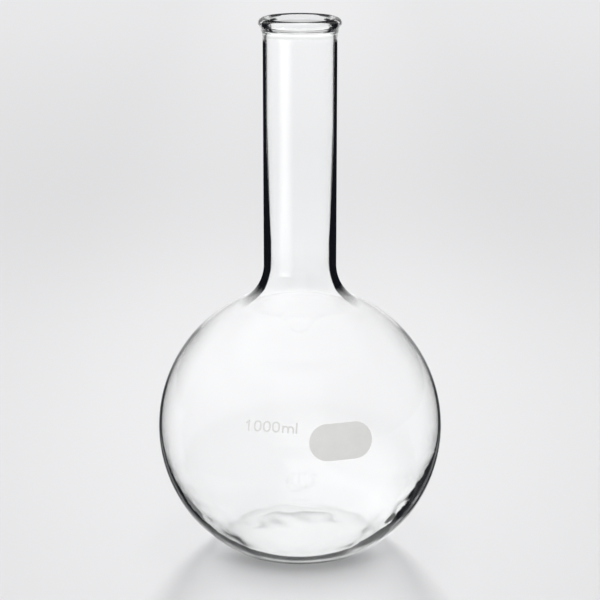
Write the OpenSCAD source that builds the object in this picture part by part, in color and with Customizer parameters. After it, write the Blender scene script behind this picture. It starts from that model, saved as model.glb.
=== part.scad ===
// Flat-bottomed long-neck glass flask, nominally one litre.
// Millimetres, +Z up, origin at the centre of the face it stands on, front towards -Y.
// The glass is one blown wall. It is divided at level planes into the regions a glassblower names,
// and the fired enamel marks lie on the outside of the round body as solids of their own.

/* [Round body] */
// Outer diameter of the round body
body_d = 131; // [108:0.5:160]
// Glass thickness at the round body's middle
body_wall = 1.3; // [1:0.1:2.4]
// How far the cavity's centre lies above the outside's centre, which thickens the lower wall
cavity_lift = 0.4; // [0:0.1:0.8]

/* [Base] */
// Diameter of the flat that the flask stands on
flat_d = 62; // [50:1:72]
// Outside radius of the heel between the flat and the round body
heel_r = 10; // [6:0.5:14]
// Inside radius of the heel
heel_bore_r = 9; // [5:0.5:13]
// Thickness of the floor
floor_t = 2.4; // [2:0.1:3.5]
// Diameter of the shallow hollow under the base
punt_d = 46; // [30:1:48]
// Depth of the shallow hollow under the base
punt_h = 0.8; // [0.3:0.1:1.2]

/* [Neck] */
// Overall height of the flask
total_h = 245; // [220:1:295]
// Outer diameter of the neck
neck_d = 33; // [32:0.5:40]
// Bore of the straight upper neck, which takes a bung
bore_d = 29.4; // [24:0.2:30]
// Length of the straight upper bore, from the widest level of the bead downwards
bore_h = 46; // [20:1:60]
// Bore at the root of the neck, where the wall is thickest
root_bore_d = 26.4; // [20:0.2:28]
// Radius of the outside blend from the neck to the round body
shoulder_r = 20; // [14:1:24]
// Radius of the inside blend from the neck bore to the round body
shoulder_bore_r = 22; // [14:1:26]

/* [Rim] */
// Outer diameter of the rim bead
rim_d = 37; // [36.5:0.5:46]
// Thickness of the glass at the bead
bead_t = 5; // [4:0.1:6]
// Height of the rim region, bead and cove together
rim_h = 9.5; // [8:0.5:14]

/* [Enamel marks] */
// Thickness of the fired enamel
enamel_t = 0.08; // [0.05:0.01:0.3]
// Width of the writing patch
patch_w = 28.5; // [20:0.5:40]
// Height of the writing patch
patch_h = 16.2; // [10:0.2:19]
// Turn of the patch's centre from the front, to the right
patch_turn = 16.4; // [0:0.2:40]
// Height of the patch's centre above the table
patch_z = 69.7; // [50:0.1:85]
// Height of the figures of the capacity mark
figure_h = 4.8; // [3:0.1:8]
// Width of a nought
figure_w = 3.4; // [2:0.1:4]
// Distance from one figure's middle to the next
figure_pitch = 4.05; // [4.05:0.05:6]
// Height of the small letters
letter_h = 3.2; // [2.4:0.1:4]
// Length of the flag of the digit one, along its stroke
flag_l = 2.2; // [1.2:0.1:3]
// Slope of the flag of the digit one, in degrees below level
flag_slope = 33; // [15:1:50]
// Distance between the legs of the letter m
arch_w = 2.25; // [1.4:0.05:3]
// Width of the pen stroke of the figures
stroke_w = 0.7; // [0.4:0.05:1]
// Turn of the capacity mark's centre from the front, to the left
mark_turn = 11.6; // [0:0.2:40]
// Height of the capacity mark's centre above the table
mark_z = 76.3; // [50:0.1:90]

/* [Hidden] */

glass = [0.86, 0.90, 0.91, 0.35];
enamel = [0.80, 0.80, 0.77];
past = 1;      // how far a cutting shape runs past what it cuts
gap = 0.01;    // clearance between the glass and the enamel's inner face
smooth = 180;  // $fn of round bodies

body_r = body_d / 2;
flat_r = flat_d / 2;
neck_r = neck_d / 2;
bore_r = bore_d / 2;
root_r = root_bore_d / 2;
bead_r = bead_t / 2;
cavity_r = body_r - body_wall;

// Centre of a heel arc, as [radius, height under the round body's centre], from its flat's depth
function heel_c(round_r, depth, arc_r) =
    [sqrt(pow(round_r - arc_r, 2) - pow(depth - arc_r, 2)), arc_r - depth];

// Centre of a blend arc, as [radius, height over the round body's centre], beside a neck
function blend_c(round_r, tube_r, blend_r) =
    [tube_r + blend_r, sqrt(pow(round_r + blend_r, 2) - pow(tube_r + blend_r, 2))];

// Where an arc with centre c touches a round body of radius round_r
function touch(round_r, c) = c * round_r / norm(c);

// Where a line from the point p touches the outer side of a circle with centre c
function tangent(p, c, r) =
    let (turn = atan2(p.y - c.y, p.x - c.x) + acos(r / norm(p - c)))
    c + r * [cos(turn), sin(turn)];

// The outside's heel touches both the table and the round body, which sets the body's height
body_z = heel_r + sqrt(pow(body_r - heel_r, 2) - pow(flat_r, 2));
cavity_z = body_z + cavity_lift;
floor_depth = cavity_z - floor_t;

root_z = body_z + blend_c(body_r, neck_r, shoulder_r).y;                       // tube above, root below
bulb_z = body_z + touch(body_r, blend_c(body_r, neck_r, shoulder_r)).y;        // root above, bulb below
base_z = cavity_z + touch(cavity_r, heel_c(cavity_r, floor_depth, heel_bore_r)).y;  // bulb above, base below
rim_z = total_h - rim_h;                  // rim above, tube below
lip_z = total_h - bead_r;                 // widest level of the bead
taper_z = lip_z - bore_h;                 // where the straight bore starts to narrow

noughts = 3;                                                  // in the capacity, after the digit one
letter_gap = figure_pitch - figure_w + stroke_w;              // from one letter's stroke to the next
m_step = noughts * figure_pitch + figure_w / 2 + letter_gap;  // from the one to the letter m's first leg
l_step = m_step + 2 * arch_w + letter_gap;                    // from the one to the letter l
flag_reach = flag_l * cos(flag_slope) - stroke_w / 2;         // of the one's flag, left of its stem's middle
one_x = (flag_reach - l_step - stroke_w / 2) / 2;             // which centres the whole mark

// A level slice of a half-section; both levels are written as heights, so that neighbours share a plane
module slice(z0, z1) {
    intersection() {
        children();
        polygon([[0, z0], [body_d, z0], [body_d, z1], [0, z1]]);
    }
}

// Half-section of a round body with a neck; the neck tapers from top_r at narrow_z to tube_r at its root
module necked_outline(round_z, round_r, tube_r, blend_r, narrow_z, top_r) {
    c = blend_c(round_r, tube_r, blend_r);
    top = total_h + past - round_z;
    translate([0, round_z]) {
        difference() {
            polygon([[0, 0], touch(round_r, c), c, [tube_r, c.y], [top_r, narrow_z - round_z],
                     [top_r, top], [0, top]]);
            translate(c)
                circle(blend_r, $fn = smooth);
        }
        circle(round_r, $fn = smooth);
    }
}

// Half-section of a round body's lower half, standing on a flat through a heel arc
module heeled_outline(round_z, round_r, depth, arc_r) {
    c = heel_c(round_r, depth, arc_r);
    out = touch(round_r, c) - c;
    translate([0, round_z])
        difference() {
            slice(-depth, past)
                circle(round_r, $fn = smooth);
            difference() {
                polygon([c, c - [0, 2 * arc_r], c + 2 * out]);
                translate(c)
                    circle(arc_r, $fn = smooth);
            }
        }
}

// The glass between two heights in the upper half of the flask
module upper_wall(z0, z1) {
    color(glass)
        rotate_extrude($fn = smooth)
            slice(z0, z1)
                difference() {
                    necked_outline(body_z, body_r, neck_r, shoulder_r, root_z + past, neck_r);
                    necked_outline(cavity_z, cavity_r, root_r, shoulder_bore_r, taper_z, bore_r);
                }
}

// The glass between two heights in the lower half of the flask
module lower_wall(z0, z1) {
    color(glass)
        rotate_extrude($fn = smooth)
            slice(z0, z1)
                difference() {
                    heeled_outline(body_z, body_r, body_z, heel_r);
                    heeled_outline(cavity_z, cavity_r, floor_depth, heel_bore_r);
                }
}

// Half-section of the glass from the neck's skin at rim_z up to the bead. A bead wider than the neck stands
// on a cove that touches both; up to any other bead the skin runs straight
module bead_foot(bead_c) {
    neck_edge = [neck_r, rim_z];
    across = bead_c.x - neck_r;
    up = bead_c.y - rim_z;
    if (rim_d > neck_d) {
        cove_r = (across * across + up * up - bead_r * bead_r) / (2 * (across + bead_r));
        cove_c = neck_edge + [cove_r, 0];
        difference() {
            polygon([[bore_r, rim_z], neck_edge, cove_c, bead_c, [bore_r, lip_z]]);
            translate(cove_c)
                circle(cove_r, $fn = smooth);
        }
    } else {
        polygon([[bore_r, rim_z], neck_edge, tangent(neck_edge, bead_c, bead_r), bead_c, [bore_r, lip_z]]);
    }
}

module rim_bead() {
    bead_c = [rim_d / 2 - bead_r, lip_z];
    color(glass)
        rotate_extrude($fn = smooth)
            difference() {
                union() {
                    translate(bead_c)
                        circle(bead_r, $fn = smooth);
                    bead_foot(bead_c);
                }
                square([bore_r, total_h + past]);
            }
}

module neck_tube() {
    upper_wall(root_z, rim_z);
}

module neck_root() {
    upper_wall(bulb_z, root_z);
}

module upper_bulb() {
    upper_wall(cavity_z, bulb_z);
}

module lower_bulb() {
    lower_wall(base_z, cavity_z);
}

module base() {
    punt_r = (pow(punt_d / 2, 2) + pow(punt_h, 2)) / (2 * punt_h);
    difference() {
        lower_wall(0, base_z);
        translate([0, 0, punt_h - punt_r])
            sphere(punt_r, $fn = smooth);
    }
}

// A skin of enamel on the round body; the child is its outline, flat and seen from outside
module enamel_skin(turn, z) {
    rise = asin((z - body_z) / body_r);
    color(enamel)
        translate([0, 0, body_z])
            intersection() {
                difference() {
                    sphere(body_r + gap + enamel_t, $fn = smooth);
                    sphere(body_r + gap, $fn = smooth);
                }
                rotate([90 - rise, 0, turn])
                    linear_extrude(body_d)
                        children();
            }
}

// A flat outline with round ends, w wide and h high about its centre
module stadium(w, h) {
    end_d = min(w, h);
    if (w > h)
        square([w - h, h], center = true);
    else
        square([w, h - w], center = true);
    for (side = [-1, 1])
        translate(side * [w - end_d, h - end_d] / 2)
            circle(d = end_d, $fn = smooth);
}

// An upright pen stroke that stands on the line
module stem(h) {
    translate([-stroke_w / 2, 0])
        square([stroke_w, h]);
}

// A piece of the capacity mark, drawn from the line up, x along the line from the mark's middle
module on_line(x) {
    enamel_skin(-mark_turn, mark_z)
        translate([x, -figure_h / 2])
            children();
}

module capacity_digit_one() {
    on_line(one_x) {
        stem(figure_h);
        translate([stroke_w / 2, figure_h])
            rotate(180 + flag_slope)
                square([flag_l, stroke_w]);
    }
}

module capacity_zeros() {
    for (i = [1:noughts])
        on_line(one_x + i * figure_pitch)
            translate([0, figure_h / 2])
                difference() {
                    stadium(figure_w, figure_h);
                    stadium(figure_w - 2 * stroke_w, figure_h - 2 * stroke_w);
                }
}

// An arch of the letter m, with its own right-hand leg
module arch() {
    outer_r = (arch_w + stroke_w) / 2;
    spring_y = letter_h - outer_r;
    translate([arch_w / 2, spring_y])
        intersection() {
            difference() {
                circle(outer_r, $fn = smooth);
                circle(outer_r - stroke_w, $fn = smooth);
            }
            translate([-outer_r, 0])
                square([2 * outer_r, outer_r]);
        }
    translate([arch_w, 0])
        stem(spring_y);
}

module unit_letter_m() {
    on_line(one_x + m_step) {
        stem(letter_h);
        arch();
        translate([arch_w, 0])
            arch();
    }
}

module unit_letter_l() {
    on_line(one_x + l_step)
        stem(figure_h);
}

module writing_patch() {
    enamel_skin(patch_turn, patch_z)
        stadium(patch_w, patch_h);
}

rim_bead();
neck_tube();
neck_root();
upper_bulb();
lower_bulb();
base();
capacity_digit_one();
capacity_zeros();
unit_letter_m();
unit_letter_l();
writing_patch();
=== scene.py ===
import math

import bmesh
import bpy
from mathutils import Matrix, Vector, noise


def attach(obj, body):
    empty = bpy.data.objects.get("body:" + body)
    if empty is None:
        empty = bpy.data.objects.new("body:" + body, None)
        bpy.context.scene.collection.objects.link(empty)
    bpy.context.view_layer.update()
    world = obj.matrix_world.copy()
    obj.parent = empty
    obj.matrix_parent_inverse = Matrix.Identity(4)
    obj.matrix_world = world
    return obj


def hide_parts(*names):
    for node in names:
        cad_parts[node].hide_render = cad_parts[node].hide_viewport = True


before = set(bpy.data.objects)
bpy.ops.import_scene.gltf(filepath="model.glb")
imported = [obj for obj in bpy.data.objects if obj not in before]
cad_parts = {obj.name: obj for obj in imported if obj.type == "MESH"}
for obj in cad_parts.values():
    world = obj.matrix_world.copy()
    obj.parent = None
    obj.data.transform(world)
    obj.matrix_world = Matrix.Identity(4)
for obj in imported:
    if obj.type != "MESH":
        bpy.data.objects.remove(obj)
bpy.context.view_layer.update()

MM = 0.001
TAU = 2 * math.pi
WHITE = (1.0, 1.0, 1.0, 1.0)


# ---------------------------------------------------------------- camera

CAMERA_DISTANCE = 0.850      # from the flask's axis, along the table
CAMERA_HEIGHT = 0.353        # above the table
CAMERA_PITCH = 15.57         # degrees below the horizon
CAMERA_LENS = 115.8          # millimetres
CAMERA_SENSOR = 36.0         # millimetres
CAMERA_CLIP = (0.05, 60.0)


def make_camera():
    data = bpy.data.cameras.new("camera")
    data.sensor_width = CAMERA_SENSOR
    data.lens = CAMERA_LENS
    data.clip_start, data.clip_end = CAMERA_CLIP
    camera = bpy.data.objects.new("camera", data)
    camera.location = (0.0, -CAMERA_DISTANCE, CAMERA_HEIGHT)
    camera.rotation_euler = (math.radians(90 - CAMERA_PITCH), 0.0, 0.0)
    bpy.context.collection.objects.link(camera)
    bpy.context.scene.camera = camera


# ---------------------------------------------------------------- the flask's section, in millimetres

BODY_R = 65.5
BODY_Z = 56.04
CAVITY_R = 64.2
CAVITY_Z = 56.44
NECK_R = 16.5
BORE_R = 14.7
ROOT_R = 13.2                # the bore at the foot of the neck
SHOULDER_R = 20.0            # the outside's curve from the neck into the round body
SHOULDER_BORE_R = 22.0       # the same on the inside
FLAT_R = 31.0
HEEL_R = 10.0
HEEL_BORE_R = 9.0
FLOOR_T = 2.4
PUNT_R = 23.0                # the shallow hollow under the base
PUNT_H = 0.8
PUNT_EDGE = 0.5              # from its rim to the next ring of points on the flat
TOTAL_H = 245.0
RIM_R = 18.5
BEAD_R = 2.5
RIM_H = 9.5
BORE_H = 46.0

PUNT_STEPS = 10              # how many pieces each part of the section is drawn in
FLAT_STEPS = 4
HEEL_STEPS = 16
BODY_STEPS = 120
SHOULDER_STEPS = 28
NECK_STEPS = 40
COVE_STEPS = 16
BEAD_STEPS = 40
BORE_STEPS = 20
ROOT_STEPS = 24
FLOOR_STEPS = 12


def arc(centre, radius, start, end, steps):
    points = []
    for i in range(steps + 1):
        angle = start + (end - start) * i / steps
        points.append((centre[0] + radius * math.cos(angle), centre[1] + radius * math.sin(angle)))
    return points


def angle_to(a, b):
    return math.atan2(b[1] - a[1], b[0] - a[0])


def line(start, end, steps):
    return [(start[0] + (end[0] - start[0]) * i / steps, start[1] + (end[1] - start[1]) * i / steps)
            for i in range(steps + 1)]


def blend_centre(round_r, round_z, tube_r, blend_r):
    """The centre of the arc that leads from an upright tube into a round below it."""
    x = tube_r + blend_r
    return (x, round_z + math.sqrt((round_r + blend_r) ** 2 - x ** 2))


def heel_centre(round_r, round_z, flat_z, arc_r):
    """The centre of the arc that leads from a round into a flat under it."""
    down = round_z - flat_z - arc_r
    return (math.sqrt((round_r - arc_r) ** 2 - down ** 2), flat_z + arc_r)


def outside_section():
    """From the axis under the base out, up the outside and over the rim to the bore."""
    punt = (PUNT_R ** 2 + PUNT_H ** 2) / (2 * PUNT_H)
    punt_turn = math.pi / 2 - math.asin(PUNT_R / punt)
    points = arc((0, PUNT_H - punt), punt, math.pi / 2, punt_turn, PUNT_STEPS)
    points += line((PUNT_R + PUNT_EDGE, 0), (FLAT_R, 0), FLAT_STEPS)
    heel = heel_centre(BODY_R, BODY_Z, 0, HEEL_R)
    turn = angle_to((0, BODY_Z), heel)
    points += arc(heel, HEEL_R, -math.pi / 2, turn, HEEL_STEPS)[1:]
    shoulder = blend_centre(BODY_R, BODY_Z, NECK_R, SHOULDER_R)
    points += arc((0, BODY_Z), BODY_R, turn, angle_to((0, BODY_Z), shoulder), BODY_STEPS)[1:]
    shoulder_turn = angle_to(shoulder, (0, BODY_Z)) + TAU
    points += arc(shoulder, SHOULDER_R, shoulder_turn, math.pi, SHOULDER_STEPS)[1:]
    cove_z = TOTAL_H - RIM_H
    points += line((NECK_R, shoulder[1]), (NECK_R, cove_z), NECK_STEPS)[1:]
    bead = (RIM_R - BEAD_R, TOTAL_H - BEAD_R)
    across, up = bead[0] - NECK_R, bead[1] - cove_z
    cove_r = (across ** 2 + up ** 2 - BEAD_R ** 2) / (2 * (across + BEAD_R))
    cove = (NECK_R + cove_r, cove_z)
    points += arc(cove, cove_r, math.pi, angle_to(cove, bead), COVE_STEPS)[1:]
    lip = math.acos((BORE_R - bead[0]) / BEAD_R)
    points += arc(bead, BEAD_R, angle_to(bead, cove), lip, BEAD_STEPS)[1:]
    return points


def inside_section():
    """From the bore's top down the cavity and back to the axis on its floor."""
    bore_top = TOTAL_H - BEAD_R
    points = line((BORE_R, bore_top), (BORE_R, bore_top - BORE_H), BORE_STEPS)
    root = blend_centre(CAVITY_R, CAVITY_Z, ROOT_R, SHOULDER_BORE_R)
    points += line(points[-1], (ROOT_R, root[1]), ROOT_STEPS)[1:]
    root_turn = angle_to(root, (0, CAVITY_Z)) + TAU
    points += arc(root, SHOULDER_BORE_R, math.pi, root_turn, SHOULDER_STEPS)[1:]
    floor = heel_centre(CAVITY_R, CAVITY_Z, FLOOR_T, HEEL_BORE_R)
    top_turn, floor_turn = angle_to((0, CAVITY_Z), root), angle_to((0, CAVITY_Z), floor)
    points += arc((0, CAVITY_Z), CAVITY_R, top_turn, floor_turn, BODY_STEPS)[1:]
    points += arc(floor, HEEL_BORE_R, floor_turn, -math.pi / 2, HEEL_STEPS)[1:]
    points += line(points[-1], (0, FLOOR_T), FLOOR_STEPS)[1:]
    return points


# ---------------------------------------------------------------- the glass's skin

SIDES = 256
ON_AXIS = 1e-6               # a ring smaller than this is one point
UNEVEN_TOP = 50.0            # below this height the blown wall is thick and uneven on its inside
UNEVEN_FULL = 14.0
THICKER = 0.8                # how far the inside stands in from the even wall, in millimetres
THICKER_RIGHT = 0.9          # how much further on the right side
RIGHT_NARROW = 4             # the power of the cosine that keeps that to the right side
WAVE = 0.7                   # millimetres
WAVES_ROUND = 3.0            # the higher, the more of them round the body
WAVE_HEIGHT = 16.0           # millimetres
RIPPLE = 0.30                # the same for the smaller unevenness
RIPPLES_ROUND = 9.0
RIPPLE_HEIGHT = 5.0
CALM_HEIGHT = 12.0           # below this height it evens out again towards the cavity's floor
CALMEST = 0.3


def held_between(value, low, high):
    return min(max(value, low), high)


def unevenness(angle, height):
    """How far the inside of the wall stands in from its even place, in millimetres."""
    share = held_between((UNEVEN_TOP - height) / (UNEVEN_TOP - UNEVEN_FULL), 0.0, 1.0)
    calm = held_between(height / CALM_HEIGHT, CALMEST, 1.0)
    across, along = math.cos(angle), math.sin(angle)
    wave = noise.noise(Vector((WAVES_ROUND * across, WAVES_ROUND * along, height / WAVE_HEIGHT)))
    ripple = noise.noise(Vector((RIPPLES_ROUND * across, RIPPLES_ROUND * along, height / RIPPLE_HEIGHT)))
    right = max(across, 0.0) ** RIGHT_NARROW
    return share * calm * (THICKER + THICKER_RIGHT * right + WAVE * wave + RIPPLE * ripple)


def ring(work, radius, height, inside):
    """The points round the axis at one place in the section, or the one point on the axis."""
    if radius < ON_AXIS:
        return [work.verts.new((0, 0, height * MM))]
    points = []
    for i in range(SIDES):
        angle = TAU * i / SIDES
        r = radius
        if inside:
            r -= unevenness(angle, height) * min(radius / CAVITY_R, 1.0)
        points.append(work.verts.new((r * MM * math.cos(angle), r * MM * math.sin(angle), height * MM)))
    return points


def join_rings(work, low, high):
    for i in range(SIDES):
        j = (i + 1) % SIDES
        if len(low) == 1:
            work.faces.new((low[0], high[j], high[i]))
        elif len(high) == 1:
            work.faces.new((low[i], low[j], high[0]))
        else:
            work.faces.new((low[i], low[j], high[j], high[i]))


def lathe(name, outside, inside):
    """The glass as one closed skin, whose faces say whether they are on its outside."""
    mesh = bpy.data.meshes.new(name)
    work = bmesh.new()
    rings = [ring(work, r, z, False) for r, z in outside]
    rings += [ring(work, r, z, True) for r, z in inside]
    for i in range(len(rings) - 1):
        join_rings(work, rings[i], rings[i + 1])
    outer_faces = len(outside) * SIDES
    outer = [1.0 if i < outer_faces else 0.0 for i in range(len(work.faces))]
    bmesh.ops.recalc_face_normals(work, faces=work.faces)
    work.to_mesh(mesh)
    work.free()
    mesh.attributes.new("outer", "FLOAT", "FACE").data.foreach_set("value", outer)
    mesh.shade_smooth()
    piece = bpy.data.objects.new(name, mesh)
    bpy.context.collection.objects.link(piece)
    return piece


# ---------------------------------------------------------------- node helpers

FACING_BLEND = 0.5           # at which Layer Weight's Facing is 1 minus the cosine of the angle


def plug(tree, value, socket):
    """Feeds a socket from another node's output, or sets it to a plain number or colour."""
    if isinstance(value, bpy.types.NodeSocket):
        tree.links.new(value, socket)
    else:
        socket.default_value = value


def math_node(tree, operation, *values):
    node = tree.nodes.new("ShaderNodeMath")
    node.operation = operation
    for value, socket in zip(values, node.inputs):
        plug(tree, value, socket)
    return node.outputs[0]


def all_of(tree, *shares):
    """The product of some shares."""
    total = shares[0]
    for share in shares[1:]:
        total = math_node(tree, "MULTIPLY", total, share)
    return total


def any_of(tree, *shares):
    """The largest of some shares."""
    total = shares[0]
    for share in shares[1:]:
        total = math_node(tree, "MAXIMUM", total, share)
    return total


def less(tree, share, amount):
    """1 where the share is 0, and lower by this amount where it is 1."""
    return math_node(tree, "MULTIPLY_ADD", share, -amount, 1.0)


def swing(tree, waves, amount):
    """Waves from 0 to 1 as a swing of this much in all, to both sides of 0."""
    return math_node(tree, "MULTIPLY_ADD", waves, amount, -0.5 * amount)


def step(tree, value, zero_at, one_at, kind="SMOOTHSTEP"):
    """0 to 1 as a value goes from one number to the other, and held there beyond them."""
    node = tree.nodes.new("ShaderNodeMapRange")
    node.interpolation_type = kind
    plug(tree, value, node.inputs["Value"])
    plug(tree, zero_at, node.inputs["From Min"])
    plug(tree, one_at, node.inputs["From Max"])
    return node.outputs[0]


def mix_shaders(tree, share, first, second):
    node = tree.nodes.new("ShaderNodeMixShader")
    for value, socket in zip((share, first, second), node.inputs):
        tree.links.new(value, socket)
    return node.outputs[0]


def mix_colours(tree, share, first, second, kind="MIX"):
    node = tree.nodes.new("ShaderNodeMix")
    node.data_type = "RGBA"
    node.blend_type = kind
    plug(tree, share, node.inputs["Factor"])
    plug(tree, first, node.inputs["A"])
    plug(tree, second, node.inputs["B"])
    return node.outputs["Result"]


def split_place(tree, kind="Object"):
    """Where a point is, and the same as its three numbers."""
    place = tree.nodes.new("ShaderNodeTexCoord").outputs[kind]
    parts = tree.nodes.new("ShaderNodeSeparateXYZ")
    tree.links.new(place, parts.inputs[0])
    return place, parts.outputs["X"], parts.outputs["Y"], parts.outputs["Z"]


def height_step(tree, zero_at, one_at):
    """0 to 1 between two heights of the object, in metres."""
    return step(tree, split_place(tree)[3], zero_at, one_at)


def between_heights(tree, low, full_from, full_to, high):
    """1 between two heights of the object in metres, fading to 0 at the outer two."""
    return all_of(tree, height_step(tree, low, full_from), height_step(tree, high, full_to))


def vector_node(tree, operation, vector, output="Vector"):
    node = tree.nodes.new("ShaderNodeVectorMath")
    node.operation = operation
    tree.links.new(vector, node.inputs[0])
    return node, node.outputs[output]


def flattened(tree, vector):
    """The level part of a vector."""
    node, level = vector_node(tree, "MULTIPLY", vector)
    node.inputs[1].default_value = (1.0, 1.0, 0.0)
    return level


def length_of(tree, vector):
    return vector_node(tree, "LENGTH", vector, "Value")[1]


def facing(tree, normal=None):
    """0 where the surface, or a given normal, faces the viewer, and 1 where it is edge on."""
    node = tree.nodes.new("ShaderNodeLayerWeight")
    node.inputs["Blend"].default_value = FACING_BLEND
    if normal is not None:
        tree.links.new(normal, node.inputs["Normal"])
    return node.outputs["Facing"]


def noise_over(tree, place, scale, detail=2.0, roughness=0.5):
    node = tree.nodes.new("ShaderNodeTexNoise")
    node.inputs["Scale"].default_value = scale
    node.inputs["Detail"].default_value = detail
    node.inputs["Roughness"].default_value = roughness
    tree.links.new(place, node.inputs["Vector"])
    return node.outputs["Fac"]


def new_material(name):
    material = bpy.data.materials.new(name)
    material.use_nodes = True
    return material, material.node_tree.nodes["Principled BSDF"]


NO_FACE = 0.5                # between none and one, where the glass faces that light has met are counted
ONE_WALL = 2.5               # over the two faces by which light goes into one wall and out of it


def light_met(tree):
    """The light path, and whether it has crossed one wall, crossed more, and been mirrored on the way."""
    path = tree.nodes.new("ShaderNodeLightPath")
    crossed = path.outputs["Transmission Depth"]
    into_wall = math_node(tree, "GREATER_THAN", crossed, NO_FACE)
    one_wall = all_of(tree, into_wall, math_node(tree, "LESS_THAN", crossed, ONE_WALL))
    more_walls = math_node(tree, "GREATER_THAN", crossed, ONE_WALL)
    mirrored = math_node(tree, "GREATER_THAN", path.outputs["Glossy Depth"], NO_FACE)
    return path, one_wall, more_walls, mirrored


def attribute(tree, name):
    node = tree.nodes.new("ShaderNodeAttribute")
    node.attribute_name = name
    return node.outputs["Fac"]


# ---------------------------------------------------------------- glass

GLASS_IOR = 1.473
GLASS_TINT = (0.70, 0.86, 0.80, 1.0)
GLASS_DENSITY = 8.0
# painted shade: the near-black that the glass's edges are painted with
PAINTED_EDGE_COLOUR = (0.008, 0.009, 0.012, 1.0)

# The painted dark edge of the wall, near-black shade mixed over the glass where Layer Weight says it is edge
# on, by height in millimetres: from and to which facing, how dark, how softly it ends
PAINTED_DARK_EDGE = (
    (0.0, 0.46, 0.62, 0.92, 0.03),
    (4.0, 0.50, 0.70, 0.90, 0.05),
    (8.0, 0.62, 0.93, 0.85, 0.25),
    (16.0, 0.66, 0.94, 0.80, 0.22),
    (24.0, 0.71, 0.93, 0.97, 0.08),
    (38.0, 0.71, 0.92, 0.97, 0.03),
    (56.0, 0.77, 0.94, 0.92, 0.03),
    (76.0, 0.79, 0.94, 0.92, 0.03),
    (94.0, 0.81, 0.94, 0.50, 0.03),
    (106.0, 0.81, 0.94, 0.05, 0.03),
    (115.0, 0.60, 0.93, 0.0, 0.03),
    (124.0, 0.42, 0.95, 1.0, 0.03),
    (146.0, 0.39, 0.96, 1.0, 0.03),
    (170.0, 0.50, 0.97, 1.0, 0.03),
    (190.0, 0.58, 0.97, 1.0, 0.03),
    (235.0, 0.60, 0.97, 1.0, 0.03),
    (237.0, 0.60, 0.97, 0.0, 0.03),
    (243.6, 0.50, 0.97, 0.0, 0.03),
    (244.2, 0.50, 0.97, 1.0, 0.03))
EDGE_SOFT = 0.03             # how softly it starts

# From here on a pair of numbers says where something is 0 and where it is full. Four numbers say where it
# starts, is full from, is full to and ends. Places are in metres, and turns are what Facing gives.
EDGE_UNEVEN_HEIGHTS = (0.008, 0.018, 0.042, 0.060)
EDGE_UNEVEN = 0.26
EDGE_WAVES = 70.0            # per metre
EDGE_WAVES_DETAIL = 4.0
EDGE_WAVES_ROUGHNESS = 0.65
EDGE_RIGHT = 0.07            # how much sooner it starts on the right there
EDGE_RIGHT_X = (0.0, 0.04)
HEEL_FADE = 0.90             # the painted dark edge fades out low on the right of the heel
HEEL_FADE_X = (0.018, 0.028)
HEEL_FADE_HEIGHTS = (0.013, 0.008)
RIM_SIDE_FADE = 0.85         # and at the two sides of the rim's top
RIM_SIDE_TURN = (0.42, 0.69)
RIM_SIDE_HEIGHTS = (0.2434, 0.2438)
RIM_FAR = 0.30               # how much sooner it starts at the back of the rim's top
RIM_FAR_Y = (0.003, 0.008)
RIM_FAR_TURN = (0.65, 0.42)
RIM_FAR_HEIGHTS = (0.2438, 0.2442)
LINE_GAP = 0.30              # low on the round body the painted dark edge is two lines with a paler one between
LINE_GAP_HALF = 0.06
LINE_GAP_HEIGHTS = (0.014, 0.022, 0.048, 0.060)
SHADE = 0.45                 # painted shade, soft, inside the edge of the round body
SHADE_TURN = (0.46, 0.85)
SHADE_POWER = 1.5
SHADE_HEIGHTS = (0.010, 0.020, 0.098, 0.112)
PAINTED_BEAD_SHADE = 0.95          # how dark the painted shade patches at the two sides of the rim's bead are
BEAD_WAVES = 450.0           # per metre
BEAD_UNEVEN = 0.30
BEAD_BAND = (0.24, 0.32, 0.54, 0.62)
BEAD_TURN = (0.24, 0.31)
BEAD_HEIGHTS = (0.2395, 0.2403, 0.2432, 0.2440)
SHADOW_EDGE = (0.03, 0.03, 0.03, 1.0)       # what light through the wall edge on keeps for the floor
SHADOW_POWER = 1.7
SHADOW_HEIGHTS = (0.001, 0.005)
HEEL_KEEPS = (0.53, 0.53, 0.53, 1.0)        # what light through the thick heel keeps for the floor
HEEL_BACK = 0.10             # how much of that loss is left at the back, where the light comes from
HEEL_FRONT_Y = (-0.005, -0.03)
HEEL_RADII = (0.026, 0.033)
HEEL_HEIGHTS = (0.012, 0.002)


def sideways(tree, place):
    """0 where the round wall faces the viewer and 1 where it is seen along, whatever its slope there."""
    outward = vector_node(tree, "NORMALIZE", flattened(tree, place))[1]
    return facing(tree, outward)


def edge_row(tree, height):
    """What the painted dark edge's table says at a height."""
    ramp = tree.nodes.new("ShaderNodeValToRGB")
    tree.links.new(math_node(tree, "DIVIDE", height, TOTAL_H * MM), ramp.inputs["Fac"])
    stops = ramp.color_ramp.elements
    stops.remove(stops[1])
    for at, start, end, strength, softness in PAINTED_DARK_EDGE:
        stop = stops.new(at / TOTAL_H) if at > 0 else stops[0]
        stop.color = (start, end, strength, softness)
    parts = tree.nodes.new("ShaderNodeSeparateColor")
    tree.links.new(ramp.outputs["Color"], parts.inputs[0])
    return parts.outputs["Red"], parts.outputs["Green"], parts.outputs["Blue"], ramp.outputs["Alpha"]


def uneven_start(tree, place, x):
    """How much sooner the painted dark edge starts low down, where it is uneven and the wall on the right is
    thickest.
    """
    waves = noise_over(tree, place, EDGE_WAVES, EDGE_WAVES_DETAIL, EDGE_WAVES_ROUGHNESS)
    right = math_node(tree, "MULTIPLY", step(tree, x, *EDGE_RIGHT_X), EDGE_RIGHT)
    sooner = math_node(tree, "ADD", swing(tree, waves, EDGE_UNEVEN), right)
    return all_of(tree, between_heights(tree, *EDGE_UNEVEN_HEIGHTS), sooner)


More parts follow.
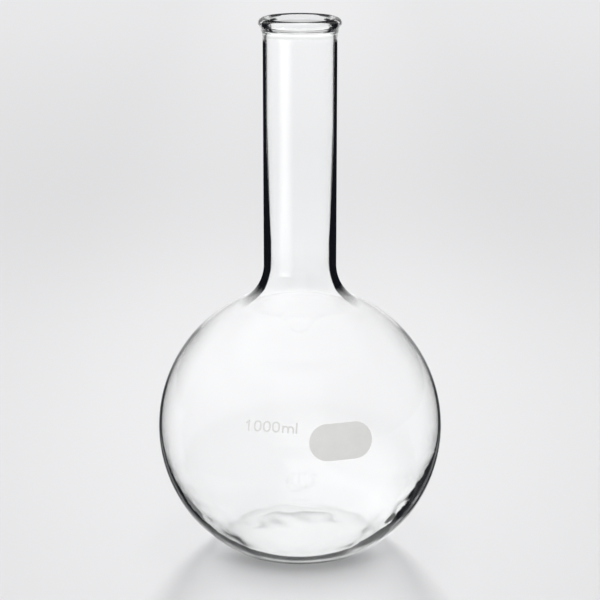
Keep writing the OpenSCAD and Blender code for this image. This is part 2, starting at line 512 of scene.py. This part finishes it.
def far_rim(tree, y, turned):
    """1 at the back of the rim's top, which gets a broader painted dark line than the front."""
    at_back = all_of(tree, step(tree, y, *RIM_FAR_Y), step(tree, turned, *RIM_FAR_TURN))
    return all_of(tree, at_back, height_step(tree, *RIM_FAR_HEIGHTS))


def edge_left(tree, x, turned):
    """What is left of the painted dark edge at the heel's low right and at the two sides of the rim's top."""
    at_heel = all_of(tree, step(tree, x, *HEEL_FADE_X), height_step(tree, *HEEL_FADE_HEIGHTS))
    at_rim = all_of(tree, step(tree, turned, *RIM_SIDE_TURN), height_step(tree, *RIM_SIDE_HEIGHTS))
    return all_of(tree, less(tree, at_heel, HEEL_FADE), less(tree, at_rim, RIM_SIDE_FADE))


def painted_edge_lines(tree, turned):
    """The painted dark line or lines along the wall's edge, which end short of the very edge."""
    place, x, y, height = split_place(tree)
    round_axis = sideways(tree, place)
    start, end, strength, softness = edge_row(tree, height)
    broader = math_node(tree, "MULTIPLY", far_rim(tree, y, round_axis), RIM_FAR)
    sooner = math_node(tree, "ADD", uneven_start(tree, place, x), broader)
    start = math_node(tree, "SUBTRACT", start, sooner)
    started = step(tree, math_node(tree, "SUBTRACT", turned, start), 0.0, EDGE_SOFT)
    not_ended = step(tree, math_node(tree, "SUBTRACT", end, turned), 0.0, softness)
    middle = math_node(tree, "MULTIPLY", math_node(tree, "ADD", start, end), 0.5)
    off_middle = math_node(tree, "ABSOLUTE", math_node(tree, "SUBTRACT", turned, middle))
    in_gap = step(tree, off_middle, LINE_GAP_HALF, 0.0)
    two_lines = less(tree, all_of(tree, in_gap, between_heights(tree, *LINE_GAP_HEIGHTS)), LINE_GAP)
    return all_of(tree, started, not_ended, two_lines, strength, edge_left(tree, x, round_axis))


def painted_soft_shade(tree, turned):
    """Painted shade: the round body's slight darkening towards its edge."""
    rising = math_node(tree, "POWER", step(tree, turned, *SHADE_TURN, "LINEAR"), SHADE_POWER)
    shade = math_node(tree, "MULTIPLY", rising, SHADE)
    return all_of(tree, shade, between_heights(tree, *SHADE_HEIGHTS))


def painted_bead_shade(tree, turned):
    """Painted shade: dark patches of uneven outline at the two sides of the rim's bead."""
    place = split_place(tree)[0]
    waves = noise_over(tree, place, BEAD_WAVES)
    moved = math_node(tree, "ADD", turned, swing(tree, waves, BEAD_UNEVEN))
    low, full_from, full_to, high = BEAD_BAND
    band = all_of(tree, step(tree, moved, low, full_from), step(tree, moved, high, full_to))
    patches = all_of(tree, band, step(tree, sideways(tree, place), *BEAD_TURN))
    patches = math_node(tree, "MULTIPLY", patches, PAINTED_BEAD_SHADE)
    return all_of(tree, patches, between_heights(tree, *BEAD_HEIGHTS))


def painted_dark_edge(tree):
    """How much painted near-black shade covers the glass where its outside is seen straight from outside, and
    not mirrored in itself.
    """
    turned = facing(tree)
    # painted shade: the dark lines, the soft shade and the bead's patches together
    dark = any_of(tree, painted_edge_lines(tree, turned), painted_soft_shade(tree, turned), painted_bead_shade(tree, turned))
    from_inside = tree.nodes.new("ShaderNodeNewGeometry").outputs["Backfacing"]
    reflections = tree.nodes.new("ShaderNodeLightPath").outputs["Glossy Depth"]
    unmirrored = math_node(tree, "LESS_THAN", reflections, NO_FACE)
    seen = all_of(tree, less(tree, from_inside, 1.0), unmirrored)
    return all_of(tree, attribute(tree, "outer"), seen, dark)


def held_back(tree):
    """What light that goes on to the floor keeps: less where the wall is edge on, and in the thick heel."""
    place, _, y, _ = split_place(tree)
    edge_on = math_node(tree, "POWER", facing(tree), SHADOW_POWER)
    side_wall = all_of(tree, attribute(tree, "outer"), height_step(tree, *SHADOW_HEIGHTS))
    in_shadow = tree.nodes.new("ShaderNodeLightPath").outputs["Is Shadow Ray"]
    wall = mix_colours(tree, all_of(tree, edge_on, side_wall, in_shadow), WHITE, SHADOW_EDGE)
    away = step(tree, length_of(tree, flattened(tree, place)), *HEEL_RADII)
    front = math_node(tree, "MULTIPLY_ADD", step(tree, y, *HEEL_FRONT_Y), 1.0 - HEEL_BACK, HEEL_BACK)
    heel = all_of(tree, height_step(tree, *HEEL_HEIGHTS), away, front)
    return mix_colours(tree, heel, wall, HEEL_KEEPS, "MULTIPLY")


def glass_material():
    material, shader = new_material("borosilicate_glass")
    tree = material.node_tree
    shader.inputs["Base Color"].default_value = WHITE
    shader.inputs["Roughness"].default_value = 0.0
    shader.inputs["IOR"].default_value = GLASS_IOR
    shader.inputs["Transmission Weight"].default_value = 1.0
    # painted shade: near-black mixed over the glass where the painted dark edge says
    black = tree.nodes.new("ShaderNodeBsdfDiffuse")
    black.inputs["Color"].default_value = PAINTED_EDGE_COLOUR
    surface = mix_shaders(tree, painted_dark_edge(tree), shader.outputs[0], black.outputs[0])
    passing = tree.nodes.new("ShaderNodeBsdfTransparent")
    tree.links.new(held_back(tree), passing.inputs["Color"])
    path = tree.nodes.new("ShaderNodeLightPath")
    to_floor = any_of(tree, path.outputs["Is Shadow Ray"], path.outputs["Is Diffuse Ray"])
    out = tree.nodes["Material Output"]
    tree.links.new(mix_shaders(tree, to_floor, surface, passing.outputs[0]), out.inputs["Surface"])
    absorb = tree.nodes.new("ShaderNodeVolumeAbsorption")
    absorb.inputs["Color"].default_value = GLASS_TINT
    absorb.inputs["Density"].default_value = GLASS_DENSITY
    tree.links.new(absorb.outputs[0], out.inputs["Volume"])
    return material


# ---------------------------------------------------------------- enamel

ENAMEL_NODES = ("capacity_digit_one", "capacity_zeros", "unit_letter_m", "unit_letter_l", "writing_patch")
ENAMEL_DARK = (0.61, 0.61, 0.587, 1.0)
ENAMEL_PALE = (0.75, 0.75, 0.731, 1.0)
ENAMEL_GRAINS = 2600.0       # per metre
ENAMEL_GRAIN_DETAIL = 3.0
ENAMEL_CLOUDS = 160.0        # per metre
ENAMEL_ROUGH = 0.42          # at the least
ENAMEL_ROUGHER = 0.20        # more than that on the grains
ENAMEL_BUMP = 0.25
ENAMEL_RELIEF = 0.00003      # metres


def enamel_material():
    """Fired print: satin and slightly grainy, a little paler and darker from place to place."""
    material, shader = new_material("fired_enamel")
    tree = material.node_tree
    place = split_place(tree)[0]
    grain = noise_over(tree, place, ENAMEL_GRAINS, ENAMEL_GRAIN_DETAIL)
    cloud = noise_over(tree, place, ENAMEL_CLOUDS)
    mean = math_node(tree, "MULTIPLY", math_node(tree, "ADD", grain, cloud), 0.5)
    tree.links.new(mix_colours(tree, mean, ENAMEL_DARK, ENAMEL_PALE), shader.inputs["Base Color"])
    rough = math_node(tree, "MULTIPLY_ADD", grain, ENAMEL_ROUGHER, ENAMEL_ROUGH)
    tree.links.new(rough, shader.inputs["Roughness"])
    bump = tree.nodes.new("ShaderNodeBump")
    bump.inputs["Strength"].default_value = ENAMEL_BUMP
    bump.inputs["Distance"].default_value = ENAMEL_RELIEF
    tree.links.new(grain, bump.inputs["Height"])
    tree.links.new(bump.outputs["Normal"], shader.inputs["Normal"])
    return material


# ---------------------------------------------------------------- world

FILL_COLOUR = (0.99, 0.99, 1.0, 1.0)
WORLD_GREY = (0.8, 0.8, 0.8, 1.0)
WORLD_FILL = 0.750           # what lights everything evenly
WORLD_SEEN = 0.852           # behind the table
WORLD_MIRRORED = 0.84        # the same in the glass's faces, of WORLD_GREY
LAMPS = 1.3                  # the soft lamps overhead that the glass mirrors
LAMPS_LEFT = 0.42            # how much brighter they are on the left
LAMPS_MADE_UP = 0.30         # how much brighter through two walls, for what those lose
LAMPS_HEIGHT = (0.05, 0.55)  # sine of the height where they start, and where they are at their brightest
EDGE_LAMPS_HEIGHT = (0.60, 0.90)     # the same for what a single wall's edge turns to
SIDES_TURN = (0.20, 0.45)    # sine of the angle from straight ahead where the dark sides start and are full
DARK = 0.005                 # the dark sides of the studio, which only light that met a single wall shows; the floor is painted this dark for it


def background(tree, colour, strength):
    node = tree.nodes.new("ShaderNodeBackground")
    node.inputs["Color"].default_value = colour
    plug(tree, strength, node.inputs["Strength"])
    return node.outputs[0]


def soft_lamps(tree, across, more_walls):
    """The lamps overhead that the glass mirrors."""
    to_left = math_node(tree, "MULTIPLY_ADD", across, -LAMPS * LAMPS_LEFT, LAMPS)
    made_up = math_node(tree, "MULTIPLY_ADD", more_walls, LAMPS_MADE_UP, 1.0)
    return background(tree, WORLD_GREY, all_of(tree, to_left, made_up))


def world_in_glass(tree, one_wall, more_walls, mirrored, seen):
    """The pale world with lamps overhead, and the dark sides to which a single wall turns the light."""
    _, across, _, up = split_place(tree, "Generated")
    lamps = soft_lamps(tree, across, more_walls)
    low = background(tree, WORLD_GREY, WORLD_MIRRORED)
    straight = all_of(tree, more_walls, less(tree, mirrored, 1.0))
    behind = mix_shaders(tree, straight, low, seen)
    usual = mix_shaders(tree, step(tree, up, *LAMPS_HEIGHT), behind, lamps)
    beside = step(tree, math_node(tree, "ABSOLUTE", across), *SIDES_TURN)
    ahead = mix_shaders(tree, beside, low, background(tree, WORLD_GREY, DARK))
    edge = mix_shaders(tree, step(tree, up, *EDGE_LAMPS_HEIGHT), ahead, lamps)
    return mix_shaders(tree, one_wall, usual, edge)


def make_world():
    world = bpy.data.worlds.new("studio")
    world.use_nodes = True
    tree = world.node_tree
    tree.nodes.remove(tree.nodes["Background"])
    path, one_wall, more_walls, mirrored = light_met(tree)
    seen = background(tree, WHITE, WORLD_SEEN)
    in_glass = world_in_glass(tree, one_wall, more_walls, mirrored, seen)
    on_glass = any_of(tree, path.outputs["Is Glossy Ray"], path.outputs["Is Transmission Ray"])
    lit = mix_shaders(tree, on_glass, background(tree, FILL_COLOUR, WORLD_FILL), in_glass)
    to_camera = mix_shaders(tree, path.outputs["Is Camera Ray"], lit, seen)
    tree.links.new(to_camera, tree.nodes["World Output"].inputs["Surface"])
    world.cycles.sampling_method = "NONE"    # so that the glass casts no shadow in the world's even light
    bpy.context.scene.world = world


# ---------------------------------------------------------------- floor

FLOOR_DROP = 0.0001          # the floor lies just under the glass, which touches it
FLOOR_HALF = 20.0            # half its side
FLOOR_ROUGHNESS = 0.7
FLOOR_COLOUR = (0.70, 0.70, 0.705, 1.0)
FLOOR_PAINTED_THROUGH = (0.755, 0.755, 0.76, 1.0)   # painted light: through both walls, made up for what they lose
# painted light: brighter still through the left of the flask
FLOOR_PAINTED_THROUGH_LEFT = (0.78, 0.78, 0.785, 1.0)
THROUGH_LEFT_X = (0.0, -0.10)
FLOOR_PAINTED_MIRRORED = (0.96, 0.96, 0.965, 1.0)   # painted reflection: the floor paler in the glass's faces
# painted shade and light on the floor: darker sides near the flask, paler far off
FLOOR_PAINTED_SIDE_SHADE = 0.055
FLOOR_SIDES_X = (0.05, 0.20)
FLOOR_SIDES_DISTANCE = (6.0, 2.5)
FLOOR_PAINTED_FAR_LIGHT = 0.105
FLOOR_FAR_DISTANCE = (0.4, 2.2)
HEEL_PAINTED_GLOW = 0.72             # painted glow: the floor right under the flask, seen through the heel alone
HEEL_PALE_DISTANCE = (0.045, 0.038)
GAP_OPENS_AT = 0.20          # the pale strip behind, between the painted dark sides, widens from this far off
GAP_SLOPE = 0.35
GAP_EDGE = 0.04              # how softly the strip's sides darken
DARK_LEFT_X = (0.0, -0.02)
DARK_RIGHT_X = (0.07, 0.105)
DARK_FRONT_Y = (-0.30, -0.50)


def glow(tree, strength):
    node = tree.nodes.new("ShaderNodeEmission")
    node.inputs["Strength"].default_value = strength
    return node.outputs[0]


def scaled(tree, colour, scale):
    node = tree.nodes.new("ShaderNodeVectorMath")
    node.operation = "SCALE"
    node.inputs[0].default_value = colour[:3]
    tree.links.new(scale, node.inputs["Scale"])
    return node.outputs[0]


def painted_dark_sides(tree, x, y):
    """Where the floor is painted near-black for light that met a single wall: 1 far in front and at both
    sides, but not in a strip that widens as it goes off.
    """
    off = math_node(tree, "ABSOLUTE", y)
    wider = math_node(tree, "MULTIPLY_ADD", off, GAP_SLOPE, -GAP_SLOPE * GAP_OPENS_AT)
    limit = math_node(tree, "MAXIMUM", wider, 0.0)
    past_strip = math_node(tree, "SUBTRACT", math_node(tree, "ABSOLUTE", x), limit)
    at_sides = any_of(tree, step(tree, x, *DARK_LEFT_X), step(tree, x, *DARK_RIGHT_X))
    beside = all_of(tree, step(tree, past_strip, 0.0, GAP_EDGE), at_sides)
    return any_of(tree, beside, step(tree, y, *DARK_FRONT_Y))


def painted_floor_tones(tree, place, x):
    """Painted light and shade on the floor: paler by distance alone, and darker at the sides near the flask.
    """
    distance = length_of(tree, place)
    far = step(tree, distance, *FLOOR_FAR_DISTANCE)
    # painted light: the floor paler far off
    paler = math_node(tree, "MULTIPLY_ADD", far, FLOOR_PAINTED_FAR_LIGHT, 1.0)
    beside = step(tree, math_node(tree, "ABSOLUTE", x), *FLOOR_SIDES_X)
    beside = all_of(tree, beside, step(tree, distance, *FLOOR_SIDES_DISTANCE))
    # painted shade: the floor's sides near the flask
    darker = math_node(tree, "MULTIPLY", beside, FLOOR_PAINTED_SIDE_SHADE)
    return paler, math_node(tree, "SUBTRACT", paler, darker)


def floor_colour(tree, place, x, straight, mirrored):
    """The floor's colour as seen, through both walls of the flask, and mirrored in the glass, where it is
    painted brighter than the floor itself.
    """
    paler, tone = painted_floor_tones(tree, place, x)
    through, through_left = scaled(tree, FLOOR_PAINTED_THROUGH, paler), scaled(tree, FLOOR_PAINTED_THROUGH_LEFT, paler)
    through = mix_colours(tree, step(tree, x, *THROUGH_LEFT_X), through, through_left)
    seen = mix_colours(tree, straight, scaled(tree, FLOOR_COLOUR, tone), through)
    return mix_colours(tree, mirrored, seen, FLOOR_PAINTED_MIRRORED)


def floor_material():
    material, shader = new_material("floor_white")
    tree = material.node_tree
    shader.inputs["Roughness"].default_value = FLOOR_ROUGHNESS
    shader.inputs["Specular IOR Level"].default_value = 0.0
    _, one_wall, more_walls, mirrored = light_met(tree)
    unmirrored = less(tree, mirrored, 1.0)
    place, x, y, _ = split_place(tree)
    colour = floor_colour(tree, place, x, all_of(tree, more_walls, unmirrored), mirrored)
    tree.links.new(colour, shader.inputs["Base Color"])
    # painted shade: the floor is near-black to light mirrored after a single wall
    dark = all_of(tree, one_wall, mirrored, painted_dark_sides(tree, x, y))
    surface = mix_shaders(tree, dark, shader.outputs[0], glow(tree, DARK))
    # painted glow: seen through the heel alone, the floor right under the flask shines pale
    under = step(tree, length_of(tree, place), *HEEL_PALE_DISTANCE)
    pale = all_of(tree, one_wall, unmirrored, under)
    surface = mix_shaders(tree, pale, surface, glow(tree, HEEL_PAINTED_GLOW))
    tree.links.new(surface, tree.nodes["Material Output"].inputs["Surface"])
    return material


def make_floor():
    half = FLOOR_HALF
    mesh = bpy.data.meshes.new("floor")
    corners = [(-half, -half, 0), (half, -half, 0), (half, half, 0), (-half, half, 0)]
    mesh.from_pydata(corners, [], [(0, 1, 2, 3)])
    mesh.materials.append(floor_material())
    floor = bpy.data.objects.new("floor", mesh)
    floor.location = (0.0, 0.0, -FLOOR_DROP)
    bpy.context.collection.objects.link(floor)
    return floor


# ---------------------------------------------------------------- lamps

KEY_STRENGTH = 3.0           # on the floor alone; it throws the flask's shadow forward
KEY_HEIGHT = 22.0            # degrees over the horizon, behind the flask
KEY_SPREAD = 9.0             # degrees across
FRONT_STRENGTH = 0.83        # on the enamel alone; with the world's light it brings it to a plain level
FRONT_HEIGHT = 30.0          # degrees over the horizon, in front of the flask
FRONT_SPREAD = 60.0          # degrees across
POOL_POWER = 4.2             # overhead; it makes the floor a little paler round the flask
POOL_PLACE = (0.0, 0.22, 1.2)
POOL_SPREAD = 46.0           # degrees across
POOL_SOFT = 0.20             # its radius
CARD_ACROSS = 24             # the cards' grid
STRIP_UP = 12
SCREEN_UP = 8
FADE_ACROSS = 2              # how fast a card brightens inwards from its ends, and from its long edges
FADE_UP = 4
STRIP_STRENGTH = 4.9         # the low card whose light shows down the neck
STRIP_SOFT = 0.95
STRIP_TURN = (193, 252)      # compass directions from the flask, in degrees
STRIP_REACH = (0.34, 2.20)   # from its near edge to its far edge
STRIP_HEIGHT = 0.002
SCREEN_STRENGTH = 0.66       # a pale screen hides it from the round body
SCREEN_SOFT = 0.10
SCREEN_TURN = (180, 265)
SCREEN_RADIUS = 0.15
SCREEN_TOP = 0.08


def card_material(name, strength, softness):
    """A lamp that only the glass's outer face mirrors, and that fades out towards its edges."""
    material = bpy.data.materials.new(name)
    material.use_nodes = True
    tree = material.node_tree
    tree.nodes.clear()
    out = tree.nodes.new("ShaderNodeOutputMaterial")
    fade = step(tree, attribute(tree, "inside"), 0.0, softness)
    crossed = tree.nodes.new("ShaderNodeLightPath").outputs["Transmission Depth"]
    outer = math_node(tree, "LESS_THAN", crossed, NO_FACE)
    clear = tree.nodes.new("ShaderNodeBsdfTransparent").outputs[0]
    surface = mix_shaders(tree, all_of(tree, fade, outer), clear, glow(tree, strength))
    tree.links.new(surface, out.inputs["Surface"])
    return material


def card_from_grid(name, place, up, material):
    """A card over a grid of points; place(u, v) gives each point for u and v from 0 to 1."""
    points, inside, faces = [], [], []
    for i in range(CARD_ACROSS + 1):
        for j in range(up + 1):
            u, v = i / CARD_ACROSS, j / up
            points.append(place(u, v))
            inside.append(min(FADE_ACROSS * u, FADE_ACROSS * (1 - u), FADE_UP * v, FADE_UP * (1 - v)))
    for i in range(CARD_ACROSS):
        for j in range(up):
            k = i * (up + 1) + j
            faces.append((k, k + up + 1, k + up + 2, k + 1))
    mesh = bpy.data.meshes.new(name)
    mesh.from_pydata(points, [], faces)
    mesh.attributes.new("inside", "FLOAT", "POINT").data.foreach_set("value", inside)
    mesh.materials.append(material)
    card = bpy.data.objects.new(name, mesh)
    card.visible_camera = False
    card.visible_diffuse = False
    card.visible_shadow = False
    bpy.context.collection.objects.link(card)


def round_flask(turn, share, radius, height):
    """A point at a share of the way between two compass directions."""
    angle = math.radians(turn[0] + (turn[1] - turn[0]) * share)
    return (radius * math.cos(angle), radius * math.sin(angle), height)


def strip_place(u, v):
    near, far = STRIP_REACH
    return round_flask(STRIP_TURN, u, near + (far - near) * v, STRIP_HEIGHT)


def screen_place(u, v):
    return round_flask(SCREEN_TURN, u, SCREEN_RADIUS, SCREEN_TOP * v)


def add_lamp(name, data):
    """A lamp that lights but isn't mirrored in the glass or seen through it."""
    lamp = bpy.data.objects.new(name, data)
    lamp.visible_glossy = False
    lamp.visible_transmission = False
    bpy.context.collection.objects.link(lamp)
    return lamp


def make_sun(name, strength, turn, spread, lit_objects):
    """Soft light on some objects alone; it comes from the front when turn is over 0, and else from behind."""
    data = bpy.data.lights.new(name, "SUN")
    data.energy = strength
    data.angle = math.radians(spread)
    sun = add_lamp(name, data)
    sun.rotation_euler = (math.radians(turn), 0.0, 0.0)
    lit = bpy.data.collections.new("lit_by_" + name)
    for lit_object in lit_objects:
        lit.objects.link(lit_object)
    sun.light_linking.receiver_collection = lit


def make_pool():
    data = bpy.data.lights.new("pool", "SPOT")
    data.energy = POOL_POWER
    data.spot_size = math.radians(POOL_SPREAD)
    data.spot_blend = 1.0
    data.shadow_soft_size = POOL_SOFT
    add_lamp("pool", data).location = POOL_PLACE


def make_studio(marks):
    make_world()
    floor = make_floor()
    strip = card_material("strip_softbox", STRIP_STRENGTH, STRIP_SOFT)
    card_from_grid("strip_left", strip_place, STRIP_UP, strip)
    screen = card_material("screen_pale", SCREEN_STRENGTH, SCREEN_SOFT)
    card_from_grid("strip_screen", screen_place, SCREEN_UP, screen)
    make_sun("key", KEY_STRENGTH, KEY_HEIGHT - 90, KEY_SPREAD, [floor])
    make_sun("front", FRONT_STRENGTH, 90 - FRONT_HEIGHT, FRONT_SPREAD, marks)
    make_pool()


# ---------------------------------------------------------------- build

marks = [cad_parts[node] for node in ENAMEL_NODES]
make_camera()
bpy.context.scene.view_settings.view_transform = "Standard"
make_studio(marks)

glass = lathe("flask_glass", outside_section(), inside_section())
glass.data.materials.append(glass_material())
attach(glass, "root")
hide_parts("rim_bead", "neck_tube", "neck_root", "upper_bulb", "lower_bulb", "base")

enamel = enamel_material()
for mark in marks:
    mark.data.materials[0] = enamel
